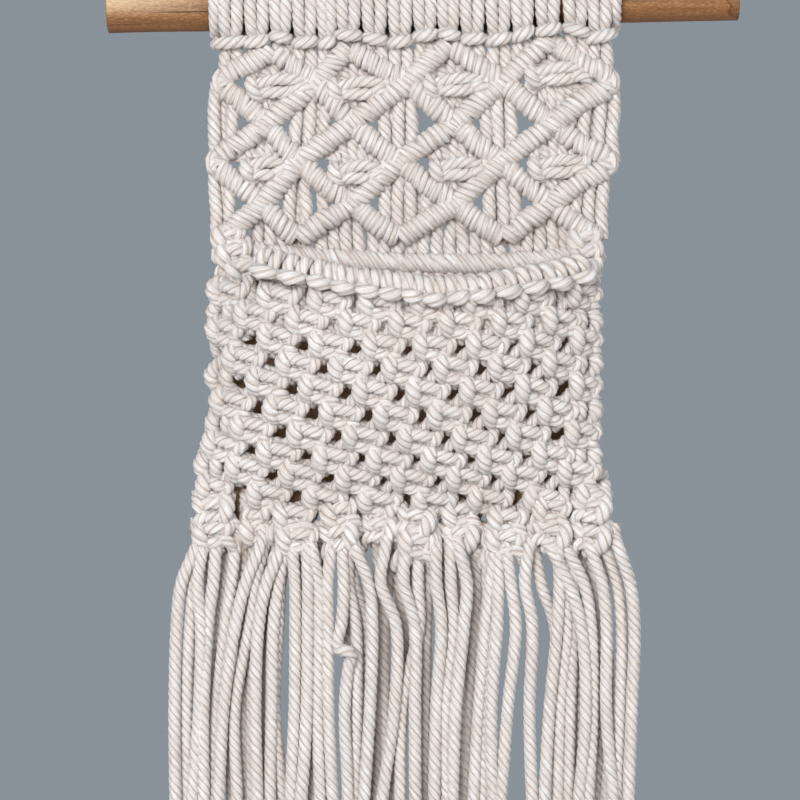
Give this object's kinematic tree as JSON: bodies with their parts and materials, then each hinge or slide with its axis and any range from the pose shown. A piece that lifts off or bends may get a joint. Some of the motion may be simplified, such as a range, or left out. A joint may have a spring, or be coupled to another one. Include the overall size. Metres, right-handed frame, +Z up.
{
  "type": "macrame wall hanging with rod",
  "caption": "Knotted cotton rope hanging on a wooden rod: diamonds of hitched bars over a pocket with a net front, and a long fringe.",
  "frame": {"origin": "middle of the rod, where whatever holds the hanging up carries it", "axes": "+X along the rod to the right, -Y towards the viewer, +Z up"},
  "size_m": [0.2654, 0.0678, 0.414],
  "materials": {
    "oiled_wood": "oiled, semi-matt",
    "cotton_rope": "matt three-ply cotton rope"
  },
  "bodies": {
    "root": {"rod": "oiled_wood", "heading": "cotton_rope", "diamond_panel": "cotton_rope", "pocket_back": "cotton_rope", "pocket_lip": "cotton_rope", "pocket_front": "cotton_rope", "fringe": "cotton_rope"}
  },
  "joints": []
}
